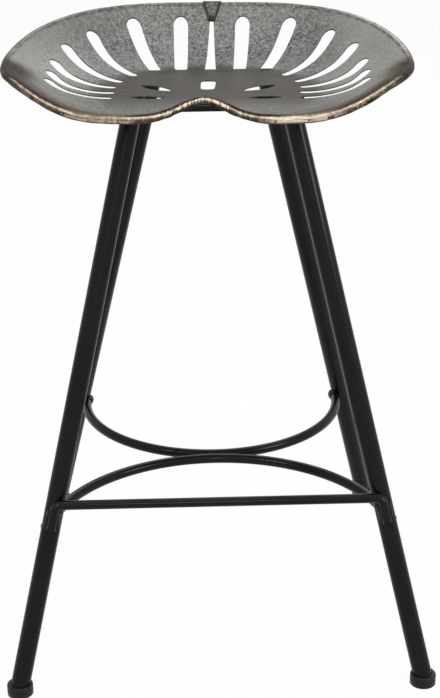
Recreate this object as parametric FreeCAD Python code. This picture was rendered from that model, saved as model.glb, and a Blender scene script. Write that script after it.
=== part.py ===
import FreeCAD, Part
import math
import os

# Tractor seat stool, millimetres, +Z up, front towards -Y
# Origin on the floor, midway between the feet

# Leg frame
leg_diameter = 20.2
leg_wall = 1.5
front_foot_half_width = 215.7
rear_foot_half_width = 199.5
foot_half_depth = 217.8
frame_height = 588.0
front_top_half_width = 81.1
rear_top_half_width = 63.2
top_half_depth = 53.0

# Foot caps
cap_diameter = 27.4
cap_height = 12.5
cap_floor = 4.0
cap_round = 2.2
cap_groove = 0.6
cap_groove_height = 7.4

# Bars under the seat
seat_bar_height = 12.6
seat_bar_thickness = 4.0
seat_bar_overhang = 12.0

# Foot rail in front of the legs
rail_diameter = 10.0
rail_height = 202.0
rail_bend_radius = 8.0
rail_tail = 27.0

# Two arc stretchers that meet back to back
arc_diameter = 11.0
arc_height = 168.0
front_arc_offset = 4.6
rear_arc_inset = 7.5

# Pressed seat
seat_half_width = 206.0
seat_back_reach = 146.0
seat_front_reach = 172.0
seat_centre_y = -36.0
seat_turn = -3.2
seat_shift_x = -4.0
seat_shift_y = -1.1
seat_back_rise = 51.5
sheet_thickness = 1.6
floor_radius = 93.0
floor_share = 0.62
dish_power = 1.9
grid_step = 8.5
rim_diameter = 10.0

# Slots in the seat
wide_slot_inner = 13.0
wide_slot_outer = 16.4
side_slot_inner = 9.0
side_slot_outer = 12.5
centre_hole_length = 39.0
centre_hole_width = 15.0
leaf_width = 13.0

# Wedge patch at the back of the seat
gusset_top_half_width = 9.5
gusset_tip_half_width = 4.6
gusset_drop = 11.5
gusset_thickness = 1.3
gusset_lean = 25.0

# Welds and clearances
weld_size = 2.4
weld_edge = 1.0
seat_weld_length = 26.0
seat_weld_spacing = 38.0
arc_weld_length = 32.0
gusset_weld_radius = 3.0
joint_gap = 0.3
cutter_overrun = 40.0
sheet_margin = 8.0

leg_radius = leg_diameter / 2
rail_radius = rail_diameter / 2
arc_radius = arc_diameter / 2
rim_radius = rim_diameter / 2
bar_top = frame_height + seat_bar_height
pan_floor = bar_top + joint_gap + sheet_thickness
rim_back_z = pan_floor + seat_back_rise
bar_face = top_half_depth + leg_radius + joint_gap + 0.4
cap_middle = (cap_floor + cap_height) / 2
whole_reach = front_foot_half_width + foot_half_depth + frame_height

# Rim centre line from the back middle to the front middle
# Each entry is share of half width, share of reach behind or in front, share of the back rise
rim_shape = [
    (0.0, 1.0, 1.0),
    (0.246, 0.988, 1.001),
    (0.491, 0.905, 0.988),
    (0.686, 0.735, 0.948),
    (0.822, 0.511, 0.876),
    (0.925, 0.254, 0.75),
    (0.984, 0.003, 0.611),
    (1.0, -0.216, 0.522),
    (0.963, -0.476, 0.509),
    (0.892, -0.664, 0.495),
    (0.787, -0.83, 0.366),
    (0.671, -0.931, 0.213),
    (0.55, -0.989, 0.115),
    (0.415, -1.0, 0.081),
    (0.279, -0.923, 0.024),
    (0.165, -0.815, 0.044),
    (0.069, -0.74, 0.147),
    (0.0, -0.718, 0.191),
]


def vec(x, y, z):
    return FreeCAD.Vector(x, y, z)


def mirrored(shape):
    return shape.mirror(vec(0, 0, 0), vec(1, 0, 0))


def rod_between(start, end, radius):
    axis = end - start
    return Part.makeCylinder(radius, axis.Length, start, axis)


def box_span(low, high):
    size = high - low
    return Part.makeBox(size.x, size.y, size.z, low)


def save(name, shapes):
    solids = []
    for shape in shapes:
        solids.extend(shape.Solids)
    for solid in solids:
        if not solid.isValid() or solid.Volume <= 0:
            print("check", name, solid.isValid(), solid.Volume)
    whole = solids[0] if len(solids) == 1 else Part.makeCompound(solids)
    whole.exportStep("parts/" + name + ".step")
    print(name, len(solids), round(sum(s.Volume for s in solids)), "mm3")


# Legs

def leg_line(side, end):
    foot_x = front_foot_half_width if end < 0 else rear_foot_half_width
    top_x = front_top_half_width if end < 0 else rear_top_half_width
    foot = vec(side * foot_x, end * foot_half_depth, 0)
    top = vec(side * top_x, end * top_half_depth, frame_height)
    return foot, top


def leg_point(side, end, height):
    foot, top = leg_line(side, end)
    return foot + (top - foot) * (height / frame_height)


def leg_core(side, end, radius, low, high):
    start = leg_point(side, end, low - 60)
    finish = leg_point(side, end, high + 60)
    cylinder = rod_between(start, finish, radius)
    keep = box_span(vec(-whole_reach, -whole_reach, low), vec(whole_reach, whole_reach, high))
    return cylinder.common(keep)


def leg(side, end):
    outside = leg_core(side, end, leg_radius, cap_floor + joint_gap, bar_top)
    inside = leg_core(side, end, leg_radius - leg_wall, -20, bar_top + 20)
    return outside.cut(inside)


def grown_leg(side, end):
    return leg_core(side, end, leg_radius + joint_gap, cap_floor, bar_top + 20)


def foot_cap(side, end):
    centre = leg_point(side, end, cap_middle)
    body = Part.makeCylinder(cap_diameter / 2, cap_height, vec(centre.x, centre.y, 0))
    upper = [e for e in body.Edges if e.BoundBox.ZMin > cap_height - 0.1]
    body = body.makeFillet(cap_round, upper)
    lower = [e for e in body.Edges if e.BoundBox.ZMax < 0.1]
    body = body.makeChamfer(0.6, lower)
    groove_at = vec(centre.x, centre.y, cap_groove_height)
    body = body.cut(Part.makeTorus(cap_diameter / 2, cap_groove, groove_at, vec(0, 0, 1)))
    return body.cut(grown_leg(side, end))


# Foot rail and arcs

def bent_path(corners, bend_radius):
    edges = []
    here = corners[0]
    for before, corner, after in zip(corners, corners[1:], corners[2:]):
        toward = (before - corner).normalize()
        onward = (after - corner).normalize()
        half = toward.getAngle(onward) / 2
        back = bend_radius / math.tan(half)
        first = corner + toward * back
        last = corner + onward * back
        middle_way = (toward + onward).normalize()
        centre = corner + middle_way * (bend_radius / math.sin(half))
        middle = centre - middle_way * bend_radius
        edges.append(Part.makeLine(here, first))
        edges.append(Part.Arc(first, middle, last).toShape())
        here = last
    edges.append(Part.makeLine(here, corners[-1]))
    return Part.Wire(edges)


def swept_rod(path, start, heading, radius):
    ring = Part.Wire(Part.makeCircle(radius, start, heading))
    return path.makePipeShell([ring], True, False)


def rail_corner(side):
    foot, top = leg_line(side, -1)
    along = (top - foot).normalize()
    ahead = vec(0, -1, 0) - along * vec(0, -1, 0).dot(along)
    ahead.normalize()
    offset = ahead * (leg_radius + rail_radius + joint_gap)
    corner = leg_point(side, -1, rail_height - offset.z) + offset
    return corner, along


def front_foot_rail():
    right, along_right = rail_corner(1)
    left, along_left = rail_corner(-1)
    tail_right = right - along_right * rail_tail
    tail_left = left - along_left * rail_tail
    path = bent_path([tail_left, left, right, tail_right], rail_bend_radius)
    return swept_rod(path, tail_left, along_left, rail_radius)


def front_arc_radius():
    leg_at = leg_point(1, -1, arc_height)
    end_x = leg_at.x + front_arc_offset
    depth = -leg_at.y - arc_radius - joint_gap / 2
    return (end_x ** 2 + depth ** 2) / (2 * depth)


# Half width of the rear arc at its ends, and how far its ends lie behind its middle

def rear_arc_reach():
    leg_at = leg_point(1, 1, arc_height)
    half = leg_at.x - rear_arc_inset
    depth = leg_at.y - leg_radius / 2 - arc_radius - joint_gap / 2
    return half, depth


def rear_arc_radius():
    half, depth = rear_arc_reach()
    if depth >= half:
        return half
    return (half ** 2 + depth ** 2) / (2 * depth)


def front_arc_path():
    radius = front_arc_radius()
    middle_y = -arc_radius - joint_gap / 2
    centre_y = middle_y - radius
    leg_at = leg_point(1, -1, arc_height)
    end_y = leg_at.y
    end_x = leg_at.x + front_arc_offset
    left = vec(-end_x, end_y, arc_height)
    right = vec(end_x, end_y, arc_height)
    path = Part.Wire([Part.Arc(left, vec(0, middle_y, arc_height), right).toShape()])
    heading = vec(end_y - centre_y, end_x, 0)
    return path, left, heading, right


def rear_arc_path():
    radius = rear_arc_radius()
    half, depth = rear_arc_reach()
    middle_y = arc_radius + joint_gap / 2
    turn = min(radius, depth)
    left = vec(-half, middle_y + turn, arc_height)
    right = vec(half, middle_y + turn, arc_height)
    tail = vec(0, depth - turn, 0)
    edges = [Part.Arc(left, vec(0, middle_y, arc_height), right).toShape()]
    if depth > half:
        edges = [Part.makeLine(left + tail, left)] + edges + [Part.makeLine(right, right + tail)]
    heading = vec(radius - turn, -half, 0).normalize()
    return Part.Wire(edges), left + tail, heading, right + tail


def arc_stretcher(end):
    path, start, heading, _ = front_arc_path() if end < 0 else rear_arc_path()
    rod = swept_rod(path, start, heading, arc_radius)
    return rod.cut(grown_leg(1, end)).cut(grown_leg(-1, end))


# Weld beads

def leaving_point(start, heading, side, end):
    foot, top = leg_line(side, end)
    along = (top - foot).normalize()
    away = (start - foot) - along * (start - foot).dot(along)
    onward = heading - along * heading.dot(along)
    square = onward.dot(onward)
    product = away.dot(onward)
    rest = away.dot(away) - leg_radius ** 2
    reach = (math.sqrt(product ** 2 - square * rest) - product) / square
    return start + heading * reach


def weld_collar(place, heading, side, end):
    bury = leg_radius * 0.4
    start = place - heading * bury
    length = bury + weld_size + weld_edge
    bead = Part.makeCone(arc_radius + weld_size, arc_radius + weld_edge, length, start, heading)
    hole = Part.makeCylinder(arc_radius + joint_gap, length * 3, start - heading * length, heading)
    beside_leg = abs(leg_point(side, end, arc_height).x) + leg_radius * 0.9
    outer = max(beside_leg, abs(place.x) + arc_radius + joint_gap + weld_edge)
    keep = box_span(vec(-outer, -whole_reach, 0), vec(outer, whole_reach, frame_height))
    bead = bead.cut(hole).cut(grown_leg(side, end)).common(keep)
    return max(bead.Solids, key=lambda s: s.Volume)


def arc_leg_welds(end):
    _, start, heading, _ = front_arc_path() if end < 0 else rear_arc_path()
    heading = heading.normalize()
    place = leaving_point(start, heading, -1, end)
    radius = front_arc_radius() if end < 0 else rear_arc_radius()
    centre = vec(0, end * (arc_radius + joint_gap / 2 + radius), arc_height)
    if end < 0 or place.y < centre.y:
        outward = (place - centre).normalize()
        place = centre + outward * radius
        heading = vec(outward.y, -outward.x, 0) * -end
    bead = weld_collar(place, heading, -1, end)
    return [bead, mirrored(bead)]


def arc_centre_weld():
    offset = arc_radius + joint_gap / 2
    level = arc_height - arc_radius * 0.72
    start = vec(-arc_weld_length / 2, 0, level)
    bead = Part.makeCylinder(weld_size, arc_weld_length, start, vec(1, 0, 0))
    for end in (-1, 1):
        reach = front_arc_radius() if end < 0 else rear_arc_radius()
        centre = vec(0, end * (offset + reach), arc_height)
        ring = Part.makeTorus(reach, arc_radius + joint_gap, centre, vec(0, 0, 1))
        bead = bead.cut(ring)
    return max(bead.Solids, key=lambda s: s.Volume)


def rail_tail_weld(side):
    corner, along = rail_corner(side)
    tail = corner - along * rail_tail
    low = tail + along * 2
    high = tail + along * (rail_tail - rail_bend_radius)
    across = along.cross(vec(0, -1, 0)).normalize() * (rail_radius + 0.4)
    inward = (leg_point(side, -1, low.z) - low).normalize()
    beads = []
    rod = rod_between(tail - along * 30, corner + along * 30, rail_radius + joint_gap)
    for turn in (-1, 1):
        shift = across * turn + inward * (rail_radius * 0.62)
        bead = rod_between(low + shift, high + shift, weld_size)
        bead = bead.cut(rod).cut(grown_leg(side, -1))
        beads.append(max(bead.Solids, key=lambda s: s.Volume))
    return beads


# Seat bars

def seat_bar(end):
    top_x = front_top_half_width if end < 0 else rear_top_half_width
    half = top_x + seat_bar_overhang
    outer = bar_face + seat_bar_thickness
    low_y, high_y = (-outer, -bar_face) if end < 0 else (bar_face, outer)
    return box_span(vec(-half, low_y, frame_height), vec(half, high_y, bar_top))


def beyond_bar_face(end):
    face = end * (bar_face - joint_gap)
    far = end * whole_reach
    return box_span(
        vec(-whole_reach, min(face, far), 0),
        vec(whole_reach, max(face, far), whole_reach),
    )


def seat_bar_welds(end):
    beads = []
    inset_y = end * (bar_face - weld_size * 0.67)
    for side in (-1, 1):
        for turn in (-1, 1):
            low = leg_point(side, end, frame_height + weld_edge)
            high = leg_point(side, end, bar_top - weld_edge)
            aside = turn * leg_radius * 0.72
            start = vec(low.x + aside, inset_y, low.z)
            finish = vec(high.x + aside, inset_y, high.z)
            bead = rod_between(start, finish, weld_size)
            bead = bead.cut(grown_leg(side, end)).cut(beyond_bar_face(end))
            beads.append(max(bead.Solids, key=lambda s: s.Volume))
    return beads


def seat_mount_welds():
    beads = []
    above = box_span(
        vec(-whole_reach, -whole_reach, bar_top),
        vec(whole_reach, whole_reach, whole_reach * 2),
    )
    for end in (-1, 1):
        for step in (-1, 0, 1):
            middle_x = step * seat_weld_spacing
            start = vec(middle_x - seat_weld_length / 2, end * (bar_face - joint_gap), bar_top)
            bead = Part.makeCylinder(weld_size, seat_weld_length, start, vec(1, 0, 0))
            bead = bead.cut(beyond_bar_face(end)).cut(above)
            beads.extend(bead.Solids)
    return beads


# Seat rim and dish

def rim_points():
    points = []
    for across, along, rise in rim_shape:
        reach = seat_back_reach if along > 0 else seat_front_reach
        z = pan_floor + rise * seat_back_rise
        points.append(vec(across * seat_half_width, along * reach, z))
    return points


# Smooth line from the back middle to the front middle, square to the mirror plane at both ends

def half_curve(points):
    curve = Part.BSplineCurve()
    start, end = vec(1, 0, 0), vec(-1, 0, 0)
    curve.interpolate(Points=points, InitialTangent=start, FinalTangent=end, Scale=False)
    return curve


def arc_from(start, heading, end):
    chord = end - start
    across = heading - chord * (heading.dot(chord) / chord.dot(chord))
    if across.Length < 1e-6:
        return Part.makeLine(start, end)
    bend = heading.getAngle(chord)
    rise = chord.Length / 2 * math.tan(bend / 2)
    middle = (start + end) * 0.5 + across.normalize() * rise
    return Part.Arc(start, middle, end).toShape()


# Two tangent arcs that leave the start along heading and reach the end along leaving

def arc_pair(start, heading, end, leaving):
    span = end - start
    bend = 2 * (1 - heading.dot(leaving))
    along = span.dot(heading + leaving)
    if bend < 1e-9:
        reach = span.dot(span) / (2 * along)
    else:
        reach = (math.sqrt(along ** 2 + bend * span.dot(span)) - along) / bend
    middle = (start + heading * reach + end - leaving * reach) * 0.5
    return [arc_from(start, heading, middle), arc_from(end, leaving * -1, middle)]


# Centre line of the right half of the rim, a chain of tangent arcs

def rim_path():
    points = rim_points()
    curve = half_curve(points)
    headings = [curve.tangent(curve.parameter(p))[0] for p in points]
    headings[0] = vec(1, 0, 0)
    headings[-1] = vec(-1, 0, 0)
    edges = []
    for i in range(len(points) - 1):
        edges.extend(arc_pair(points[i], headings[i], points[i + 1], headings[i + 1]))
    return Part.Wire(Part.__sortEdges__(edges))


def rim_rod(radius):
    ring = Part.Wire(Part.makeCircle(radius, rim_points()[0], vec(1, 0, 0)))
    half = rim_path().makePipe(Part.Face(ring))
    return half.fuse(mirrored(half)).Solids[0]


def rim_samples(count):
    samples = rim_path().discretize(count + 1)
    if samples[0].y < samples[-1].y:
        samples.reverse()
    return samples


# Height of the pan's upper face at any plan position

class Dish:
    def __init__(self):
        samples = []
        for p in rim_samples(720):
            for x in (p.x, -p.x):
                angle = math.atan2(p.y - seat_centre_y, x)
                samples.append((angle, math.hypot(x, p.y - seat_centre_y), p.z))
        samples.sort()
        head, tail = samples[0], samples[-1]
        samples.insert(0, (tail[0] - 2 * math.pi, tail[1], tail[2]))
        samples.append((head[0] + 2 * math.pi, head[1], head[2]))
        self.samples = samples
        self.angles = [s[0] for s in samples]

    def rim_at(self, angle):
        low, high = 0, len(self.angles) - 1
        while high - low > 1:
            middle = (low + high) // 2
            if self.angles[middle] <= angle:
                low = middle
            else:
                high = middle
        a, b = self.samples[low], self.samples[high]
        share = (angle - a[0]) / max(b[0] - a[0], 1e-9)
        return a[1] + (b[1] - a[1]) * share, a[2] + (b[2] - a[2]) * share

    def height(self, x, y):
        out = math.hypot(x, y - seat_centre_y)
        if out < 1e-6:
            return pan_floor
        reach, rim_z = self.rim_at(math.atan2(y - seat_centre_y, x))
        flat = min(floor_radius, floor_share * reach)
        share = (out - flat) / (reach - flat)
        if share <= 0:
            return pan_floor
        if share > 1:
            rise = 1 + dish_power * (share - 1)
        else:
            rise = share ** dish_power
        return pan_floor + (rim_z - pan_floor) * rise

    def normal(self, x, y):
        step = 1.5
        slope_x = (self.height(x + step, y) - self.height(x - step, y)) / (2 * step)
        slope_y = (self.height(x, y + step) - self.height(x, y - step)) / (2 * step)
        return vec(-slope_x, -slope_y, 1)


def layer(dish, xs, ys, drop):
    rows = []
    for x in xs:
        row = []
        for y in ys:
            steep = dish.normal(x, y).Length
            row.append(vec(x, y, dish.height(x, y) - drop * steep))
        rows.append(row)
    surface = Part.BSplineSurface()
    surface.interpolate(rows)
    return surface


def even_steps(low, high, step):
    count = max(4, int(math.ceil((high - low) / step)))
    return [low + (high - low) * i / count for i in range(count + 1)]


def sheet_block(dish, low_x, high_x, low_y, high_y, above, below, step):
    xs = even_steps(low_x, high_x, step)
    ys = even_steps(low_y, high_y, step)
    upper = layer(dish, xs, ys, -above).toShape()
    lower = layer(dish, xs, ys, below).toShape()
    faces = [upper, lower]
    corners = [(low_x, low_y), (high_x, low_y), (high_x, high_y), (low_x, high_y)]
    for a, b in zip(corners, corners[1:] + corners[:1]):
        top_edge = edge_over(upper, a, b)
        low_edge = edge_over(lower, a, b)
        faces.append(Part.makeRuledSurface(low_edge, top_edge))
    shell = Part.makeShell(faces)
    shell.sewShape()
    solid = Part.makeSolid(shell)
    if solid.Volume < 0:
        solid.reverse()
    return solid


def edge_over(face, a, b):
    middle = ((a[0] + b[0]) / 2, (a[1] + b[1]) / 2)

    def miss(edge):
        centre = edge.BoundBox.Center
        return math.hypot(centre.x - middle[0], centre.y - middle[1])

    return min(face.Edges, key=miss)


def tapered_slot(points, inner_width, outer_width):
    line = Part.BSplineCurve()
    line.interpolate([vec(x, y, 0) for x, y in points])
    first, last = line.FirstParameter, line.LastParameter
    length = line.length()
    trim_in = inner_width / 2 / length
    trim_out = outer_width / 2 / length
    left, right = [], []
    count = 4
    for i in range(count + 1):
        share = trim_in + (1 - trim_in - trim_out) * i / count
        at = line.parameterAtDistance(share * length, first)
        here = line.value(at)
        ahead = line.tangent(at)[0]
        width = inner_width + (outer_width - inner_width) * i / count
        aside = vec(-ahead.y, ahead.x, 0) * (width / 2)
        left.append(here + aside)
        right.append(here - aside)
    one = Part.BSplineCurve()
    one.interpolate(left)
    two = Part.BSplineCurve()
    two.interpolate(right[::-1])
    tip = Part.Arc(left[-1], line.value(last), right[-1]).toShape()
    root = Part.Arc(right[0], line.value(first), left[0]).toShape()
    wire = Part.Wire([one.toShape(), tip, two.toShape(), root])
    face = Part.Face(wire)
    face.translate(vec(0, 0, pan_floor - cutter_overrun))
    return face.extrude(vec(0, 0, seat_back_rise + 2 * cutter_overrun))


def leaf_slot(start, end, width):
    along = vec(end[0] - start[0], end[1] - start[1], 0)
    aside = vec(-along.y, along.x, 0).normalize() * (width / 2)
    a = vec(start[0], start[1], 0)
    b = vec(end[0], end[1], 0)
    middle = (a + b) * 0.5
    one = Part.Arc(a, middle + aside, b).toShape()
    two = Part.Arc(b, middle - aside, a).toShape()
    face = Part.Face(Part.Wire([one, two]))
    face.translate(vec(0, 0, pan_floor - cutter_overrun))
    return face.extrude(vec(0, 0, seat_back_rise + 2 * cutter_overrun))


def scaled(points):
    result = []
    for x, y in points:
        reach = seat_back_reach if y > 0 else seat_front_reach
        result.append((x * seat_half_width, y * reach))
    return result


def seat_slots():
    one_side = [
        ([(0.153, 0.39), (0.16, 0.66), (0.167, 0.918)], wide_slot_inner, wide_slot_outer),
        ([(0.294, 0.35), (0.356, 0.6), (0.415, 0.862)], wide_slot_inner, wide_slot_outer),
        ([(0.383, 0.2), (0.529, 0.404), (0.632, 0.638)], side_slot_inner, wide_slot_outer * 0.94),
        ([(0.439, 0.018), (0.602, 0.147), (0.759, 0.366)], side_slot_inner, wide_slot_outer * 0.88),
        ([(0.466, -0.124), (0.632, -0.078), (0.808, 0.103)], side_slot_inner, side_slot_outer),
        ([(0.462, -0.254), (0.627, -0.249), (0.813, -0.066)], side_slot_inner, side_slot_outer * 0.86),
        ([(0.467, -0.39), (0.632, -0.387), (0.805, -0.205)], side_slot_inner, side_slot_outer * 0.76),
    ]
    cutters = []
    for points, inner, outer in one_side:
        slot = tapered_slot(scaled(points), inner, outer)
        cutters.append(slot)
        cutters.append(mirrored(slot))
    back_line = scaled([(0.0, 0.38), (0.0, 0.64), (0.0, 0.9)])
    cutters.append(tapered_slot(back_line, centre_hole_width * 0.8, 4.4))
    hole_front = seat_centre_y + 4.0
    hole_line = [(0.0, hole_front + centre_hole_length * share) for share in (0.0, 0.5, 1.0)]
    cutters.append(tapered_slot(hole_line, centre_hole_width * 0.86, centre_hole_width))
    leaves = [((0.189, -0.206), (0.338, -0.072)), ((0.208, -0.392), (0.367, -0.378))]
    for start, end in leaves:
        a, b = scaled([start, end])
        leaf = leaf_slot(a, b, leaf_width)
        cutters.append(leaf)
        cutters.append(mirrored(leaf))
    return cutters


# Plan outline of the pan, one clear gap inside the rim rod

def pan_plan(dish):
    clear = rim_radius + joint_gap
    samples = rim_samples(40)
    right = []
    for before, here, after in zip(samples, samples[1:], samples[2:]):
        run = vec(after.x - before.x, after.y - before.y, 0).normalize()
        inward = vec(run.y, -run.x, 0)
        ahead = here + inward * clear
        fall = (here.z - dish.height(ahead.x, ahead.y)) / clear
        right.append(here + inward * (clear / math.hypot(1, fall)))
    back, front = samples[0], samples[-1]
    fall = (back.z - dish.height(0, back.y - clear)) / clear
    rear_middle = vec(0, back.y - clear / math.hypot(1, fall), 0)
    fall = (front.z - dish.height(0, front.y + clear)) / clear
    front_middle = vec(0, front.y + clear / math.hypot(1, fall), 0)
    flat = [rear_middle] + [vec(p.x, p.y, 0) for p in right] + [front_middle]
    half = half_curve(flat).toShape()
    face = Part.Face(Part.Wire([half, mirrored(half)]))
    face.translate(vec(0, 0, pan_floor - cutter_overrun))
    return face.extrude(vec(0, 0, seat_back_rise + 2 * cutter_overrun))


def seat_pan(dish):
    sheet = sheet_block(
        dish, -seat_half_width - sheet_margin, seat_half_width + sheet_margin,
        -seat_front_reach - sheet_margin, seat_back_reach + sheet_margin,
        0.0, sheet_thickness, grid_step,
    )
    pan = sheet.common(pan_plan(dish))
    pan = pan.cut(Part.makeCompound(seat_slots()))
    return max(pan.Solids, key=lambda s: s.Volume)


# Wedge on the slope and a band over the rim

def back_gusset(dish):
    tip_y = seat_back_reach - gusset_drop
    top = gusset_top_half_width
    tip = gusset_tip_half_width
    middle = vec(-top, seat_back_reach, rim_back_z)
    inner = rim_radius + joint_gap
    outer = inner + gusset_thickness
    ring = Part.makeCylinder(outer, 2 * top, middle, vec(1, 0, 0))
    ring = ring.cut(Part.makeCylinder(inner, 2 * top, middle, vec(1, 0, 0)))
    above = box_span(vec(-top, -20, 0), vec(top, 20, 20))
    above.rotate(vec(0, 0, 0), vec(1, 0, 0), gusset_lean)
    above.translate(vec(0, seat_back_reach, rim_back_z))
    band = ring.common(above)
    corners = [
        vec(-tip, tip_y, 0), vec(tip, tip_y, 0),
        vec(top, seat_back_reach, 0), vec(-top, seat_back_reach, 0),
    ]
    wedge = Part.Face(Part.makePolygon(corners + corners[:1]))
    wedge.translate(vec(0, 0, pan_floor))
    wedge = wedge.extrude(vec(0, 0, seat_back_rise))
    patch = sheet_block(
        dish, -top - 8, top + 8, tip_y - 14, seat_back_reach,
        gusset_thickness + joint_gap, -joint_gap, 4.0)
    patch = patch.common(wedge)
    patch = patch.cut(Part.makeCylinder(outer + joint_gap, 2 * top, middle, vec(1, 0, 0)))
    return [max(patch.Solids, key=lambda s: s.Volume), band]


def gusset_weld(dish):
    middle_y = seat_back_reach - gusset_drop + gusset_weld_radius * 0.6
    lift = gusset_thickness + 2 * joint_gap
    centre = vec(0, middle_y, dish.height(0, middle_y) + lift)
    bead = Part.makeSphere(gusset_weld_radius, centre)
    above = sheet_block(
        dish, -20, 20, middle_y - 20, middle_y + 8, 30, -lift, 4.0)
    return max(bead.common(above).Solids, key=lambda s: s.Volume)


# The whole seat stands a little turned and shifted on the frame

def seated(shape):
    placed = shape.copy()
    placed.rotate(vec(0, seat_centre_y, 0), vec(0, 0, 1), seat_turn)
    placed.translate(vec(seat_shift_x, seat_shift_y, 0))
    return placed


def build():
    os.makedirs("parts", exist_ok=True)
    places = {"front_left": (-1, -1), "front_right": (1, -1), "rear_left": (-1, 1), "rear_right": (1, 1)}
    for name, (side, end) in places.items():
        save("leg_" + name, [leg(side, end)])
        save("foot_cap_" + name, [foot_cap(side, end)])
    save("front_foot_rail", [front_foot_rail()])
    save("front_arc_stretcher", [arc_stretcher(-1)])
    save("rear_arc_stretcher", [arc_stretcher(1)])
    save("front_seat_bar", [seat_bar(-1)])
    save("rear_seat_bar", [seat_bar(1)])
    save("foot_rail_weld_left", rail_tail_weld(-1))
    save("foot_rail_weld_right", rail_tail_weld(1))
    save("front_arc_welds", arc_leg_welds(-1))
    save("rear_arc_welds", arc_leg_welds(1))
    save("arc_centre_weld", [arc_centre_weld()])
    save("front_bar_welds", seat_bar_welds(-1))
    save("rear_bar_welds", seat_bar_welds(1))
    save("seat_mount_welds", seat_mount_welds())
    dish = Dish()
    save("seat_rim", [seated(rim_rod(rim_radius))])
    save("back_gusset", [seated(piece) for piece in back_gusset(dish)])
    save("gusset_weld", [seated(gusset_weld(dish))])
    save("seat_pan", [seated(seat_pan(dish))])


build()
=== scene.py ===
import bpy
import bmesh
import math
import numpy as np
from mathutils import Matrix, Vector, noise


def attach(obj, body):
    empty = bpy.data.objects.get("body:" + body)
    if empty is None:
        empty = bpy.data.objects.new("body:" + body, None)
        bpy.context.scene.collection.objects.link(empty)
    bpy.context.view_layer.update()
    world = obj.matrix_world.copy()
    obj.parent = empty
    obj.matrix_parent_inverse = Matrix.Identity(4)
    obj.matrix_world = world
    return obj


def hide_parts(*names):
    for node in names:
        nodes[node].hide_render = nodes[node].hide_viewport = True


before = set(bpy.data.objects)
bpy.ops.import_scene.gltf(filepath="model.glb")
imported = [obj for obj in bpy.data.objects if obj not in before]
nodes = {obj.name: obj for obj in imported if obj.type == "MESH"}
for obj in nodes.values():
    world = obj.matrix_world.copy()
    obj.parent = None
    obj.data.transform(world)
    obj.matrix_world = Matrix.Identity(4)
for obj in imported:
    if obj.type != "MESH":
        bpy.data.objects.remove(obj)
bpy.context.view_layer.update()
mm = 0.001

cameraView = {
    "place": (-0.03822, -1.69410, 0.99805),
    "turn": -1.536,       # degrees to the left of straight ahead
    "dip": 22.372,        # degrees below level
    "roll": -0.60,        # degrees
    "lens": 56.507,       # millimetres
    "sensorHeight": 24,   # millimetres
    "farthest": 50,       # metres
}


def makeCamera(view):
    turn, dip, roll = (math.radians(view[key]) for key in ("turn", "dip", "roll"))
    ahead = Vector((
        -math.sin(turn) * math.cos(dip), math.cos(turn) * math.cos(dip), -math.sin(dip)))
    right = Vector((math.cos(turn), math.sin(turn), 0))
    up = right.cross(ahead)
    side = right * math.cos(roll) + up * math.sin(roll)
    top = up * math.cos(roll) - right * math.sin(roll)
    data = bpy.data.cameras.new("mainCamera")
    data.sensor_fit = "VERTICAL"
    data.sensor_height = view["sensorHeight"]
    data.lens = view["lens"]
    data.clip_end = view["farthest"]
    camera = bpy.data.objects.new("mainCamera", data)
    turned = Matrix((side, top, -ahead)).transposed().to_4x4()
    camera.matrix_world = Matrix.Translation(view["place"]) @ turned
    bpy.context.scene.collection.objects.link(camera)
    bpy.context.scene.camera = camera


makeCamera(cameraView)
print("camera set")


# Socket maths: an expression on values adds its Math nodes
class Value:
    def __init__(self, graph, socket):
        self.graph = graph
        self.socket = socket

    def __add__(self, other):
        return self.graph.maths("ADD", self, other)

    def __radd__(self, other):
        return self.graph.maths("ADD", other, self)

    def __sub__(self, other):
        return self.graph.maths("SUBTRACT", self, other)

    def __rsub__(self, other):
        return self.graph.maths("SUBTRACT", other, self)

    def __mul__(self, other):
        return self.graph.maths("MULTIPLY", self, other)

    def __rmul__(self, other):
        return self.graph.maths("MULTIPLY", other, self)

    def __neg__(self):
        return self.graph.maths("MULTIPLY", self, -1.0)

    def __abs__(self):
        return self.graph.maths("ABSOLUTE", self)

    def least(self, other):
        return self.graph.maths("MINIMUM", self, other)

    def most(self, other):
        return self.graph.maths("MAXIMUM", self, other)

    def ramp(self, low, high):   # 0 at low, 1 at high, smooth between
        made = self.graph.node("ShaderNodeMapRange", {"interpolation_type": "SMOOTHSTEP"}, {
            "Value": self, "From Min": low, "From Max": high, "To Min": 0.0, "To Max": 1.0})
        return made["Result"]

    def band(self, low, lowFull, highFull, high):   # 1 between the two inner values
        return self.ramp(low, lowFull) * (1.0 - self.ramp(highFull, high))


class Node:
    def __init__(self, graph, node):
        self.graph = graph
        self.node = node

    def __getitem__(self, key):
        return Value(self.graph, self.node.outputs[key])


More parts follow.
